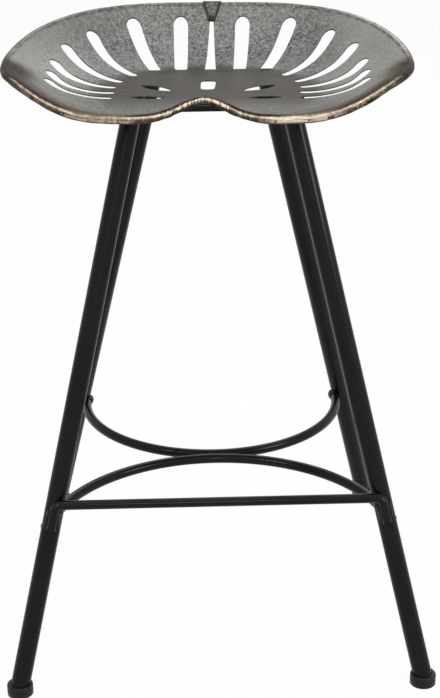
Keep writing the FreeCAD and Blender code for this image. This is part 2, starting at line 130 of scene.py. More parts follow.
class Graph:
    def __init__(self, owner):   # the owner is a material or the world
        self.owner = owner
        owner.use_nodes = True
        self.tree = owner.node_tree
        self.tree.nodes.clear()
        self.spot = None

    @property
    def place(self):
        if self.spot is None:
            self.spot = self.node("ShaderNodeTexCoord")["Object"]
        return self.spot

    def node(self, kind, settings=None, inputs=None):
        made = self.tree.nodes.new(kind)
        for key, value in (settings or {}).items():
            setattr(made, key, value)
        for key, value in (inputs or {}).items():
            if isinstance(value, Value):
                self.tree.links.new(value.socket, made.inputs[key])
            else:
                made.inputs[key].default_value = value
        return Node(self, made)

    def maths(self, operation, *values):
        return self.node("ShaderNodeMath", {"operation": operation}, dict(enumerate(values)))[0]

    def mix(self, share, low, high):   # sockets 6, 7 and 2 are the colour ones
        return self.node("ShaderNodeMix", {"data_type": "RGBA"}, {
            "Factor": share, 6: low, 7: high})[2]

    def noise(self, scale, detail=3.0, rough=0.5, place=None, stretch=None, warp=0.0):
        where = place or self.place
        if stretch:
            where = self.node("ShaderNodeMapping", {}, {
                "Vector": where, "Scale": stretch})["Vector"]
        return self.node("ShaderNodeTexNoise", {}, {
            "Vector": where, "Scale": scale, "Detail": detail,
            "Roughness": rough, "Distortion": warp})[0]

    def axes(self, vector=None):
        made = self.node("ShaderNodeSeparateXYZ", {}, {0: vector or self.place})
        return made[0], made[1], made[2]

    def seatUv(self):
        return self.node("ShaderNodeUVMap", {"uv_map": "seatUv"})["UV"]

    def relief(self, *layers):   # each layer is a height, a depth in metres and a strength
        normal = None
        for height, depth, strength in layers:
            inputs = {"Height": height, "Distance": depth, "Strength": strength}
            if normal is not None:
                inputs["Normal"] = normal
            normal = self.node("ShaderNodeBump", {}, inputs)["Normal"]
        return normal

    def finish(self, **sockets):
        shader = self.node("ShaderNodeBsdfPrincipled", {}, {
            key.replace("_", " "): value for key, value in sockets.items()})
        self.node("ShaderNodeOutputMaterial", {}, {"Surface": shader["BSDF"]})
        return self.owner


def newFinish(name):
    return Graph(bpy.data.materials.new(name))


def tone(value, warmth=0.0, green=0.0):   # a grey, made a little warmer or greener
    return (value * (1 + warmth), value * (1 + green), value * (1 - warmth), 1.0)


framePaint = {
    "dark": 0.0020, "light": 0.0048,                       # grey levels
    "roughness": 0.20, "cloudRoughness": 0.12, "flowRoughness": 0.08,
    "gloss": 0.09, "coat": 0.13, "coatRoughness": 0.10,
    "cloudScale": 14.0, "grainScale": 900.0, "flowScale": 60.0,
    "grainDepth": 0.0002, "flowDepth": 0.0006,             # metres
    "cloudCover": (0.3, 0.75),
}


def makeFramePaint(look):
    g = newFinish("satinBlackPaint")
    cloud = g.noise(look["cloudScale"], 4.0, 0.6)
    grain = g.noise(look["grainScale"], 2.0, 0.6)
    flow = g.noise(look["flowScale"], 3.0, 0.5, stretch=(1.0, 1.0, 0.25))   # runs down the tubes
    cover = cloud.ramp(*look["cloudCover"])
    colour = g.mix(cover, tone(look["dark"]), tone(look["light"], 0.05))
    rough = look["roughness"] + cloud * look["cloudRoughness"] + flow * look["flowRoughness"]
    normal = g.relief((grain, look["grainDepth"], 0.4), (flow, look["flowDepth"], 0.3))
    return g.finish(Base_Color=colour, Roughness=rough, Normal=normal,
                    Specular_IOR_Level=look["gloss"], Coat_Weight=look["coat"],
                    Coat_Roughness=look["coatRoughness"])


seatSteel = {
    "floor": 0.064, "smooth": 0.165, "dark": 0.043, "light": 0.262,   # grey levels
    "slotWall": 0.020, "slotWallLight": 0.048, "grime": 0.130,
    # the patina brown also serves as the painted shade beside the pan on the rim
    "patina": (0.020, 0.013, 0.009, 1.0), "edge": (0.085, 0.065, 0.049, 1.0),
    "sheen": (0.50, 0.49, 0.47, 1.0),                      # tint of the glancing reflection
    "metallic": 0.8, "roughness": 0.48, "mottleRoughness": 0.2,
    "fineScale": 620.0, "spotScale": 300.0, "cloudScale": 34.0, "driftScale": 9.0,
    "brushScale": 90.0, "raggedScale": 55.0, "blotchScale": 190.0, "sootScale": 400.0,
    "fineDepth": 0.0005, "spotDepth": 0.0010,              # metres

    # Where a mark begins and where it is full, in metres on the seat
    "wallRise": (0.6030, 0.6052), "backTexture": (-0.05, 0.05), "paleFront": (0.060, 0.130),
    "flank": (0.105, 0.165), "rightFlank": (-0.05, 0.10), "lipFront": (0.03, 0.10),
    "humpSide": (0.040, 0.080), "tip": (0.158, 0.200), "tipSpan": (0.020, 0.066),
    "tipMiddle": -0.072,

    # The same as shares of the way from the centre to the rim
    "grimeBand": (0.80, 1.0), "lipBand": (0.875, 0.945), "lineBand": (0.955, 0.985),
    "browBand": (0.982, 0.996),
}


def steelMarks(g, look):   # the mottled steel and its masks, for the pan, rim and patch
    x, y, z = g.axes()
    wall = z.ramp(*look["wallRise"])
    back = (y + abs(x) * 0.35).ramp(*look["backTexture"])   # the mottling is strongest there
    fine = g.noise(look["fineScale"], 4.0, 0.7)
    spots = g.noise(look["spotScale"], 3.0, 0.7, warp=0.8)
    cloud = g.noise(look["cloudScale"], 4.0, 0.6)
    drift = g.noise(look["driftScale"], 3.0, 0.5)
    mottle = (fine * 0.4 + spots * 0.6).ramp(0.42, 0.60)
    smooth = look["smooth"]
    rough = g.mix(mottle, tone(look["dark"], 0.0, 0.03), tone(look["light"], -0.01, 0.045))
    calm = g.mix(mottle, tone(smooth * 0.66, 0.045, 0.01), tone(smooth * 1.34, 0.045, 0.02))
    base = g.mix(back * 0.85 + 0.12, calm, rough)
    base = g.mix(cloud.ramp(0.42, 0.72) * 0.35, base, tone(smooth * 1.1, 0.0, 0.03))
    brushed = g.noise(look["brushScale"], 4.0, 0.6, stretch=(0.35, 3.0, 1.0)).ramp(0.3, 0.7)
    # The flat floor is painted darker than the wall: partly its smoother brushed finish, partly
    # painted shade where it lies flat to the light. It is paler toward the front.
    floor = g.mix(brushed, tone(look["floor"] * 0.86, 0.05), tone(look["floor"] * 1.16, 0.06))
    floor = g.mix((-y).ramp(*look["paleFront"]) * 0.88, floor, calm)
    base = g.mix(wall * 0.96, floor, base)
    flank = abs(x).ramp(*look["flank"]) * (0.38 + x.ramp(*look["rightFlank"]) * 0.42)
    base = g.mix(flank, base, tone(smooth * 1.9, 0.035, 0.015))   # painted highlight on the sides, paler on the right
    base = g.mix(drift.ramp(0.42, 0.75) * 0.3, base, tone(look["dark"] * 1.4, 0.05))
    return {"base": base, "wall": wall, "mottle": mottle, "fine": fine, "spots": spots,
            "x": x, "y": y}


def tipShare(look, x, y):   # 1 at the left and right tips of the seat
    span = 1.0 - abs(y - look["tipMiddle"]).ramp(*look["tipSpan"])
    return abs(x).ramp(*look["tip"]) * span


def makeSeatSteel(look):
    g = newFinish("mottledSeatSteel")
    marks = steelMarks(g, look)
    x, y, base = marks["x"], marks["y"], marks["base"]
    reach = g.axes(g.seatUv())[1]   # 0 at the centre, 1 at the rim
    ragged = g.noise(look["raggedScale"], 4.0, 0.65)
    blotch = g.noise(look["blotchScale"], 4.0, 0.75)
    grime = reach.ramp(*look["grimeBand"]) * (0.1 + ragged * 0.3)
    base = g.mix(grime, base, tone(look["grime"], 0.12))
    tip = tipShare(look, x, y) * (ragged * 0.9 + 0.65) * (1.0 - x.ramp(0.0, 0.1) * 0.15)
    base = g.mix(tip.ramp(0.10, 1.0) * 0.97, base, look["patina"])
    front = (-y).ramp(*look["lipFront"])
    lobes = 1.0 - (1.0 - abs(x).ramp(*look["humpSide"])) * front
    lip = reach.ramp(*look["lipBand"]) * front * lobes
    lip = (lip * (0.45 + blotch.ramp(0.34, 0.60) * 0.65)).least(1.0)
    base = g.mix(lip * 0.92, base, look["edge"])
    line = reach.ramp(*look["lineBand"]) * front
    base = g.mix(line * (0.45 + blotch * 0.6), base, look["patina"])
    brow = reach.ramp(*look["browBand"]) * (1.0 - front) * blotch.ramp(0.38, 0.58)
    base = g.mix(brow * 0.65, base, look["patina"])
    rough = look["roughness"] - marks["wall"] * 0.02
    rough = rough + (marks["mottle"] - 0.5) * look["mottleRoughness"]
    normal = g.relief((marks["fine"], look["fineDepth"], 0.4),
                      (marks["spots"], look["spotDepth"], 0.5))
    return g.finish(Base_Color=base, Roughness=rough, Metallic=look["metallic"],
                    Normal=normal, Specular_Tint=look["sheen"])


def makeSlotWall(look):
    # The slot walls, the cut edges of the sheet, are painted near black as painted shade, with a
    # little random variation.
    g = newFinish("darkSlotWall")
    slotShade = g.noise(look["sootScale"], 3.0, 0.6)
    light = tone(look["slotWallLight"], 0.08)
    colour = g.mix(slotShade.ramp(0.35, 0.7), tone(look["slotWall"]), light)
    return g.finish(Base_Color=colour, Roughness=0.6 + slotShade * 0.1, Metallic=0.3)


rimBronze = {
    "brown": (0.070, 0.048, 0.033, 1.0), "tan": (0.200, 0.155, 0.112, 1.0),
    "cream": (0.66, 0.56, 0.43, 1.0), "black": (0.008, 0.006, 0.005, 1.0),
    "metallic": 0.8, "roughness": 0.38, "lumpRoughness": 0.25,
    "lumpScale": 150.0, "streakScale": 34.0, "ridgeScale": 420.0, "pitScale": 110.0,
    "lumpDepth": 0.0024, "ridgeDepth": 0.0016,             # metres

    # Where a mark begins and where it is full, in metres on the seat
    "lobe": (0.060, 0.085, 0.115, 0.140), "bareLobe": (0.052, 0.070, 0.105, 0.130),
    "hump": (0.030, 0.055), "humpFront": (0.09, 0.11), "front": (0.0, 0.07),

    # The same round the roll, 1 at its inner top and 2 at its tucked edge
    "shadeBand": (1.11, 1.17), "crest": (1.16, 1.20, 1.26, 1.31),
    "lower": (1.35, 1.40, 1.48, 1.53), "under": (1.50, 1.60), "pitBand": (1.30, 1.42),
}


def makeRimBronze(look, steelLook):
    g = newFinish("wornRimBronze")
    marks = steelMarks(g, steelLook)
    x, y = marks["x"], marks["y"]
    uv = g.seatUv()
    around = g.axes(uv)[1]
    lumps = g.noise(look["lumpScale"], 4.0, 0.7)
    streak = g.noise(look["streakScale"], 4.0, 0.6)
    brush = g.noise(1.0, 3.0, 0.65, place=uv, stretch=(90.0, 13.0, 1.0))   # runs along the rim
    brush = brush.ramp(0.40, 0.60)
    ridge = g.noise(look["ridgeScale"], 2.0, 0.6, stretch=(1.0, 0.2, 0.12))
    lobe = abs(x).band(*look["lobe"])
    lobeHighlight = x.band(*look["bareLobe"])   # painted highlight on the right lobe
    hump = (1.0 - abs(x).ramp(*look["hump"])) * (-y).ramp(*look["humpFront"])
    crest, lower = around.band(*look["crest"]), around.band(*look["lower"])

    # Cream on brown bronze: worn bronze in random lumps, and painted highlights along the crest,
    # the lower bead, the right lobe and the hump's ridges
    body = g.mix((lobe * (0.3 + lumps)).least(1.0), look["brown"], look["tan"])
    share = crest * (0.28 + brush * 0.55) * (1.0 - lobe * 0.7)
    share = share + lower * lobe * (0.2 + brush * 0.6) + lumps.ramp(0.46, 0.62) * 0.22
    share = share + lobeHighlight * around.ramp(1.12, 1.18) * (0.25 + brush * 0.55)
    ribbed = ridge.ramp(0.35, 0.60) * 0.75 - 0.2
    share = share + hump * (1.0 - around.ramp(1.30, 1.44)) * ribbed
    colour = g.mix(share.most(0.0).least(1.0), body, look["cream"])

    # Painted shade on the roll's underside and under the hump, dark pits, and painted shade beside
    # the pan
    low = around.ramp(*look["under"]) * 0.8 + hump * around.ramp(1.34, 1.46) * 0.6
    colour = g.mix(low.least(1.0), colour, look["black"])
    pits = g.noise(look["pitScale"], 3.0, 0.6, warp=1.0).ramp(0.57, 0.63)
    colour = g.mix(pits * around.ramp(*look["pitBand"]) * 0.92, colour, look["black"])
    shade = 0.95 - lobe * 0.45 + (lumps - 0.5) * 0.6
    shade = (1.0 - around.ramp(*look["shadeBand"])) * shade
    colour = g.mix(shade.most(0.0).least(1.0), colour, steelLook["patina"])

    # Toward the back the roll is steel, like the pan
    front = (-y).ramp(*look["front"])
    bronzeShare = (front + around.ramp(1.16, 1.30) * 0.75).least(1.0)
    colour = g.mix(bronzeShare, marks["base"], colour)
    brow = (1.0 - front) * streak.ramp(0.40, 0.58) * around.ramp(1.0, 1.06)
    colour = g.mix(brow * 0.6, colour, steelLook["edge"])
    tip = tipShare(steelLook, x, y) * (streak * 0.4 + 0.75)
    colour = g.mix(tip, colour, steelLook["patina"])
    rough = look["roughness"] + (lumps - 0.5) * look["lumpRoughness"]
    normal = g.relief((marks["fine"], steelLook["fineDepth"], 0.4),
                      (lumps, look["lumpDepth"], 0.6), (ridge * hump, look["ridgeDepth"], 0.8))
    return g.finish(Base_Color=colour, Roughness=rough, Metallic=look["metallic"],
                    Normal=normal, Specular_Tint=steelLook["sheen"])


patchSteel = {
    "border": 0.016, "rust": (0.055, 0.030, 0.019, 1.0), "darkening": 0.40,
    "metallic": 0.7, "roughness": 0.46, "raggedRoughness": 0.15, "raggedScale": 380.0,
    "borderBand": (0.55, 0.85),   # from the middle of the wedge, 1 at its sides
    "rustBand": (0.10, 0.36),     # up from its tip, 1 beyond the rim
}


def makePatchSteel(look, steelLook):
    g = newFinish("wedgePatchSteel")
    marks = steelMarks(g, steelLook)
    across, along, _ = g.axes(g.seatUv())
    ragged = g.noise(look["raggedScale"], 3.0, 0.6)
    border = (abs(across) + (ragged - 0.5) * 0.5).ramp(*look["borderBand"])
    base = g.mix(border * 0.92, marks["base"], tone(look["border"], 0.16))
    low = 1.0 - (along + (ragged - 0.5) * 0.3).ramp(*look["rustBand"])
    base = g.mix(low * 0.85, base, look["rust"])
    base = g.mix(look["darkening"], base, tone(steelLook["dark"], 0.05))
    normal = g.relief((marks["spots"], steelLook["spotDepth"], 0.5))
    rough = look["roughness"] + ragged * look["raggedRoughness"]
    return g.finish(Base_Color=base, Roughness=rough, Metallic=look["metallic"],
                    Normal=normal, Specular_Tint=steelLook["sheen"])


weldSteel = {
    "dark": 0.006, "bare": (0.13, 0.12, 0.105, 1.0), "rust": (0.040, 0.024, 0.015, 1.0),
    "paintedWear": 0.45, "rustyWear": 0.5, "metallic": 0.3, "gloss": 0.2,
    "roughness": 0.32, "cloudRoughness": 0.2,
    "lumpScale": 260.0, "cloudScale": 120.0, "lumpDepth": 0.0010,
}


def makeWeldSteel(look, name, wear, base):
    g = newFinish(name)
    lumps = g.noise(look["lumpScale"], 4.0, 0.6)
    cloud = g.noise(look["cloudScale"], 3.0, 0.6)
    colour = g.mix(cloud.ramp(0.5, 0.72) * wear, base, look["bare"])
    colour = g.mix(lumps.ramp(0.5, 0.8) * 0.6 * wear, colour, look["rust"])
    normal = g.relief((lumps, look["lumpDepth"], 0.6))
    rough = look["roughness"] + cloud * look["cloudRoughness"]
    return g.finish(Base_Color=colour, Roughness=rough, Metallic=look["metallic"],
                    Normal=normal, Specular_IOR_Level=look["gloss"])


capRubber = {
    "dark": 0.0030, "dust": 0.010, "scuffHeight": 0.006,   # metres above the floor
    "roughness": 0.34, "cloudRoughness": 0.15, "gloss": 0.22,
    "cloudScale": 90.0, "grainScale": 1300.0, "grainDepth": 0.0002,
}


def makeCapRubber(look):
    g = newFinish("blackCapRubber")
    cloud = g.noise(look["cloudScale"], 4.0, 0.6)
    grain = g.noise(look["grainScale"], 2.0, 0.6)
    height = g.axes()[2]
    scuff = (1.0 - height.ramp(0.0, look["scuffHeight"])) * cloud
    dusty = cloud.ramp(0.4, 0.8) * 0.5 + scuff * 0.4
    colour = g.mix(dusty, tone(look["dark"]), tone(look["dust"], 0.03))
    normal = g.relief((grain, look["grainDepth"], 0.5))
    rough = look["roughness"] + cloud * look["cloudRoughness"]
    return g.finish(Base_Color=colour, Roughness=rough, Normal=normal,
                    Specular_IOR_Level=look["gloss"])


paint = makeFramePaint(framePaint)
steel = makeSeatSteel(seatSteel)
slotWall = makeSlotWall(seatSteel)
bronze = makeRimBronze(rimBronze, seatSteel)
patch = makePatchSteel(patchSteel, seatSteel)
paintedWeld = makeWeldSteel(
    weldSteel, "paintedWeld", weldSteel["paintedWear"], tone(weldSteel["dark"]))
rustyWeld = makeWeldSteel(weldSteel, "rustyWeld", weldSteel["rustyWear"], weldSteel["rust"])
rubber = makeCapRubber(capRubber)
print("finishes made")


def meshObject(name, points, faces, materials, smooth=True):
    mesh = bpy.data.meshes.new(name)
    mesh.from_pydata([tuple(p) for p in points], [], faces)
    mesh.validate()
    if smooth:
        smoothed(mesh)
    for material in materials:
        mesh.materials.append(material)
    made = bpy.data.objects.new(name, mesh)
    bpy.context.scene.collection.objects.link(made)
    return made


def smoothed(mesh):
    mesh.polygons.foreach_set("use_smooth", [True] * len(mesh.polygons))


def thicken(made, thickness):   # below the modelled face
    sheet = made.modifiers.new("sheet", "SOLIDIFY")
    sheet.thickness = thickness
    sheet.offset = -1


def addUv(made, uvs):   # one place for each point
    layer = made.data.uv_layers.new(name="seatUv")
    loops = made.data.loops
    values = np.zeros((len(loops), 2))
    for n, loop in enumerate(loops):
        values[n] = uvs[loop.vertex_index]
    for poly in made.data.polygons:   # keep faces that cross the start line in one piece
        us = [values[n][0] for n in poly.loop_indices]
        if max(us) - min(us) > 0.5:
            for n in poly.loop_indices:
                if values[n][0] < 0.5:
                    values[n][0] += 1
    layer.data.foreach_set("uv", values.ravel())


def ringFaces(first, rings, count):   # quads between closed rings of points
    faces = []
    for ring in range(rings - 1):
        a = first + ring * count
        b = a + count
        for i in range(count):
            j = (i + 1) % count
            faces.append((a + i, b + i, b + j, a + j))
    return faces


def unit(v):
    return v / np.linalg.norm(v)


def smoothStep(x):
    x = np.clip(x, 0, 1)
    return x * x * (3 - 2 * x)


seatForm = {
    "halfWidth": 0.2060, "backReach": 0.146, "frontReach": 0.172,   # metres, as all lengths here
    "backRise": 0.0515, "floor": 0.6025, "centreY": -0.036,
    "turn": -3.2, "shift": (-0.0040, -0.0011),   # degrees and metres on the frame
    "flatRadius": 0.093, "flatShare": 0.62,      # the flat floor ends at the smaller of the two
    "power": 1.9,                                # how sharply the wall curves up
    "rollRadius": 0.00495, "tuck": 0.80,         # the lip is tucked under, 1 is half a turn
    "leastLean": 0.35,                           # least share of the pan's slope at the rim
    "liftStart": 0.45,                           # where the pan starts to rise to the roll
    "sheet": 0.0010, "rollSheet": 0.0009,
    "lip": 0.00035, "lipAngle": 50,              # worn edge of the slots, degrees
    "firstRing": 0.04, "innerShare": 0.5,        # finer rings beyond this share of the way out
    "aroundCount": 520, "innerRings": 9, "ringCount": 48, "rollCount": 30,

    # Right half of the rim from the back: shares of half width, reach and back rise
    "line": [
        (0.0, 1.0, 1.0), (0.246, 0.988, 1.001), (0.491, 0.905, 0.988), (0.686, 0.735, 0.948),
        (0.822, 0.511, 0.876), (0.925, 0.254, 0.75), (0.984, 0.003, 0.611), (1.0, -0.216, 0.522),
        (0.963, -0.476, 0.509), (0.892, -0.664, 0.495), (0.787, -0.83, 0.366),
        (0.671, -0.931, 0.213), (0.55, -0.989, 0.115), (0.415, -1.0, 0.081),
        (0.279, -0.923, 0.024), (0.165, -0.815, 0.044), (0.069, -0.74, 0.147),
        (0.0, -0.718, 0.191),
    ],
}


def seatPlace(form):   # turned about its own centre, then shifted
    centre = Matrix.Translation((0, form["centreY"], 0))
    turn = Matrix.Rotation(math.radians(form["turn"]), 4, "Z")
    shift = Matrix.Translation((*form["shift"], 0))
    return shift @ centre @ turn @ centre.inverted()


def seated(made, node, form):   # stands the piece on the frame with the seat
    made.matrix_world = seatPlace(form)
    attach(made, "root")
    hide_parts(node)


def clampedSpline(points, startSlope, endSlope, count):
    points = np.array(points, float)
    steps = np.linalg.norm(np.diff(points, axis=0), axis=1)
    knots = np.concatenate([[0], np.cumsum(steps)])
    n = len(points)
    rows = np.zeros((n, n))
    right = np.zeros((n, 3))
    rows[0, 0] = rows[-1, -1] = 1
    right[0], right[-1] = startSlope, endSlope
    for i in range(1, n - 1):
        a, b = steps[i - 1], steps[i]
        rows[i, i - 1], rows[i, i], rows[i, i + 1] = b, 2 * (a + b), a
        before, after = points[i] - points[i - 1], points[i + 1] - points[i]
        right[i] = 3 * (b * before / a + a * after / b)
    slopes = np.linalg.solve(rows, right)
    at = np.linspace(0, knots[-1], count)
    span = np.clip(np.searchsorted(knots, at, side="right") - 1, 0, n - 2)
    h = steps[span][:, None]
    t = ((at - knots[span]) / steps[span])[:, None]
    p, q, m, k = points[span], points[span + 1], slopes[span], slopes[span + 1]
    return ((2 * t**3 - 3 * t**2 + 1) * p + (t**3 - 2 * t**2 + t) * h * m
            + (3 * t**2 - 2 * t**3) * q + (t**3 - t**2) * h * k)


def planPoint(form, across, along):   # from shares of the half width and of the reach
    reach = form["backReach"] if along > 0 else form["frontReach"]
    return across * form["halfWidth"], along * reach


def rimLine(form):
    right = [(*planPoint(form, across, along), form["floor"] + rise * form["backRise"])
             for across, along, rise in form["line"]]
    half = clampedSpline(right, (1, 0, 0), (-1, 0, 0), form["aroundCount"] // 2 + 1)
    left = half[-2:0:-1] * np.array([-1, 1, 1])
    return np.concatenate([half, left])


def seatCentre(form, height=0.0):
    return np.array([0, form["centreY"], height])


def wallShare(form, t, reach):   # t runs 0 at the seat's centre to 1 at the rim
    flat = min(form["flatRadius"], form["flatShare"] * reach) / reach
    return np.clip((t - flat) / (1 - flat), 0, None), flat


def rollFrames(form, rim):   # outward and upward at each rim point, and the pan's slope there
    frames = []
    count = len(rim)
    for i in range(count):
        along = unit(rim[(i + 1) % count] - rim[i - 1])
        flatAlong = unit(np.array([along[0], along[1], 0]))
        outward = np.array([-flatAlong[1], flatAlong[0], 0])
        spoke = rim[i] - seatCentre(form)
        spoke[2] = 0
        if outward @ spoke < 0:
            outward = -outward
        outward = unit(outward - along * (outward @ along))
        above = unit(np.cross(outward, along))
        if above[2] < 0:
            above = -above
        reach = np.linalg.norm(spoke)
        _, flat = wallShare(form, 1.0, reach)
        fall = form["power"] * (rim[i][2] - form["floor"]) / (reach * (1 - flat))
        fall *= max(form["leastLean"], outward @ unit(spoke))
        frames.append((outward, above, math.atan(fall)))
    return frames


def skinSpot(form, rim, frames, i, t):   # on the pan's upper face, t from centre to rim
    i %= len(rim)
    centre = seatCentre(form)
    spoke = rim[i] - centre
    spoke[2] = 0
    u = float(wallShare(form, t, np.linalg.norm(spoke))[0])
    p = centre + spoke * t
    p[2] = form["floor"] + (rim[i][2] - form["floor"]) * u ** form["power"]
    outward, above, lean = frames[i]
    lift = smoothStep((u - form["liftStart"]) / (1 - form["liftStart"]))
    return p + form["rollRadius"] * (above * math.cos(lean) - outward * math.sin(lean)) * lift


def seatSkin(form, rim, frames):
    count = len(rim)
    inner = np.linspace(form["firstRing"], form["innerShare"], form["innerRings"])
    outer = np.linspace(form["innerShare"], 1.0, form["ringCount"])[1:]
    shares = np.concatenate([inner, outer])
    points, uvs = [seatCentre(form, form["floor"])], [(0.0, 0.0)]
    for t in shares:
        for i in range(count):
            points.append(skinSpot(form, rim, frames, i, t))
            uvs.append((i / count, t))
    faces = [(0, 1 + i, 1 + (i + 1) % count) for i in range(count)]
    return points, faces + ringFaces(1, len(shares), count), uvs


def rollSpot(form, rim, frames, i, share, sink=0.0):   # share 0 at the inner top, 1 tucked under
    i %= len(rim)
    outward, above, lean = frames[i]
    start, end = math.pi / 2 + lean, -math.pi * form["tuck"]
    angle = start + (end - start) * share
    away = outward * math.cos(angle) + above * math.sin(angle)
    return rim[i] + (form["rollRadius"] - sink) * away


rimHammer = {
    "dentScale": 45, "dentTurn": 1.5, "smallDent": 3.1, "smallShare": 0.35,
    "ridgeScale": (260, 40, 1.2),                    # across, along and round the roll
    "backDepth": 0.0003, "frontDepth": 0.0008, "ridgeDepth": 0.0011,   # metres
    "frontStart": -0.02, "frontFade": 0.10,          # metres, toward the front
    "humpHalf": 0.062, "humpHalfFade": 0.03, "humpStart": 0.08, "humpFade": 0.02,
    "innerFade": 5,                                  # none at the pan, full at a fifth of the turn
}


def waves(at):   # between 0 and 1
    return 0.5 + 0.5 * noise.noise(at)


def hammered(look, p, share):   # how deep the roll is beaten in at a spot
    front = float(smoothStep((-p[1] - look["frontStart"]) / look["frontFade"]))
    hump = float(smoothStep((look["humpHalf"] - abs(p[0])) / look["humpHalfFade"])
                 * smoothStep((-p[1] - look["humpStart"]) / look["humpFade"]))
    at = Vector(p) * look["dentScale"] + Vector((0, 0, share * look["dentTurn"]))
    dent = waves(at) + look["smallShare"] * waves(at * look["smallDent"])
    ridge = waves(Vector((p[0], p[1], share)) * Vector(look["ridgeScale"]))
    sink = dent * (look["backDepth"] + look["frontDepth"] * front)
    sink += ridge * look["ridgeDepth"] * hump
    return sink * min(1.0, share * look["innerFade"])


def rollSkin(form, rim, frames, hammer):
    count, turns = len(rim), form["rollCount"]
    points, uvs = [], []
    for k in range(turns + 1):
        share = k / turns
        for i in range(count):
            sink = hammered(hammer, rim[i], share)
            points.append(rollSpot(form, rim, frames, i, share, sink))
            uvs.append((i / count, 1 + share))
    return points, ringFaces(0, turns + 1, count), uvs


# Slots, placed by shares of the half width and of the reach behind or in front
seatSlots = {
    # Three places along the slot, inner and outer width in mm, and how long the inner end is
    "lines": [
        ([(0.153, 0.39), (0.16, 0.66), (0.167, 0.904)], 13.4, 16.4, 0.42),
        ([(0.281, 0.35), (0.354, 0.6), (0.430, 0.835)], 13.4, 16.4, 0.42),
        ([(0.377, 0.205), (0.529, 0.400), (0.637, 0.608)], 10.0, 15.4, 0.5),
        ([(0.436, 0.018), (0.602, 0.145), (0.756, 0.348)], 10.0, 14.4, 0.5),
        ([(0.461, -0.124), (0.630, -0.078), (0.799, 0.106)], 9.6, 13.2, 0.45),
        ([(0.457, -0.254), (0.625, -0.249), (0.803, -0.058)], 9.6, 11.8, 0.45),
        ([(0.461, -0.39), (0.630, -0.387), (0.801, -0.200)], 9.6, 10.8, 0.45),
    ],
    "back": ([(0.0, 0.38), (0.0, 0.64), (0.0, 0.9)], 12.8, 4.0, 0.3),
    "hole": ([(0.0, -0.186), (0.0, -0.063), (0.0, 0.060)], 14.0, 16.4, 0.36),

    # Inner end, outer end and width in mm of the small leaf slots
    "leaves": [
        ((0.176, -0.218), (0.343, -0.0675), 15.0),
        ((0.201, -0.394), (0.3755, -0.377), 11.5),
    ],
    "leafFullness": 0.75,
    "innerCorner": 2.4,                              # 2 is round, more is squarer
    "slotSteps": 26, "leafSteps": 12,
    "cutFrom": 0.58, "cutTo": 0.70,                  # metres above the floor
}


def bowed(points, t):   # a smooth curve through three places
    p, q, r = points
    a = np.linalg.norm(q - p)
    m = a / (a + np.linalg.norm(r - q))
    return p * (t - m) * (t - 1) / m + q * t * (t - 1) / (m * (m - 1)) + r * t * (t - m) / (1 - m)


def slotOutline(form, slots, line, inner, outer, blunt):
    points = [np.array(planPoint(form, *share)) for share in line]
    length = np.linalg.norm(points[1] - points[0]) + np.linalg.norm(points[2] - points[1])
    inner, outer, corner = inner * mm, outer * mm, slots["innerCorner"]
    left, right = [], []
    for i in range(slots["slotSteps"] + 1):
        t = 0.5 - 0.5 * math.cos(math.pi * i / slots["slotSteps"])
        here = bowed(points, t)
        ahead = unit(bowed(points, t + 0.01) - bowed(points, t - 0.01))
        aside = np.array([-ahead[1], ahead[0]])
        near = t * length / (inner * blunt)
        far = (1 - t) * length / (outer / 2)   # the outer end is a half circle
        cap = (1 - max(0, 1 - near) ** corner) ** (1 / corner)
        cap *= math.sqrt(max(0, 1 - max(0, 1 - far) ** 2))
        half = (inner + (outer - inner) * t) / 2
        left.append(here + aside * half * cap)
        right.append(here - aside * half * cap)
    return left + right[-2:0:-1]


def leafOutline(form, slots, start, end, width):
    a, b = (np.array(planPoint(form, *share)) for share in (start, end))
    along = b - a
    aside = unit(np.array([-along[1], along[0]])) * width * mm / 2
    steps = slots["leafSteps"]
    swell = [max(0, math.sin(math.pi * i / steps)) ** slots["leafFullness"]
             for i in range(steps + 1)]
    left = [a + along * i / steps + aside * swell[i] for i in range(steps + 1)]
    right = [a + along * i / steps - aside * swell[i] for i in range(1, steps)]
    return left + right[::-1]


def mirrored(outline):
    return [p * np.array([-1, 1]) for p in outline][::-1]


def slotCutter(form, slots):
    outlines = []
    for slot in slots["lines"]:
        outlines.append(slotOutline(form, slots, *slot))
        outlines.append(mirrored(outlines[-1]))
    for key in ("back", "hole"):
        outlines.append(slotOutline(form, slots, *slots[key]))
    for leaf in slots["leaves"]:
        outlines.append(leafOutline(form, slots, *leaf))
        outlines.append(mirrored(outlines[-1]))
    points, faces = [], []
    for outline in outlines:
        base, n = len(points), len(outline)
        for height in (slots["cutFrom"], slots["cutTo"]):
            points.extend([(p[0], p[1], height) for p in outline])
        faces.append(tuple(range(base + n - 1, base - 1, -1)))
        faces.append(tuple(range(base + n, base + 2 * n)))
        for i in range(n):
            j = (i + 1) % n
            faces.append((base + i, base + j, base + n + j, base + n + i))
    cutter = meshObject("slotCutter", points, faces, [steel, slotWall], smooth=False)
    cutter.data.polygons.foreach_set("material_index", [1] * len(cutter.data.polygons))
    mesh = bmesh.new()
    mesh.from_mesh(cutter.data)
    bmesh.ops.recalc_face_normals(mesh, faces=mesh.faces)
    mesh.to_mesh(cutter.data)
    mesh.free()
    return cutter


def applied(made):   # its modifiers become part of the mesh
    depsgraph = bpy.context.evaluated_depsgraph_get()
    mesh = bpy.data.meshes.new_from_object(made.evaluated_get(depsgraph))
    made.modifiers.clear()
    made.data = mesh


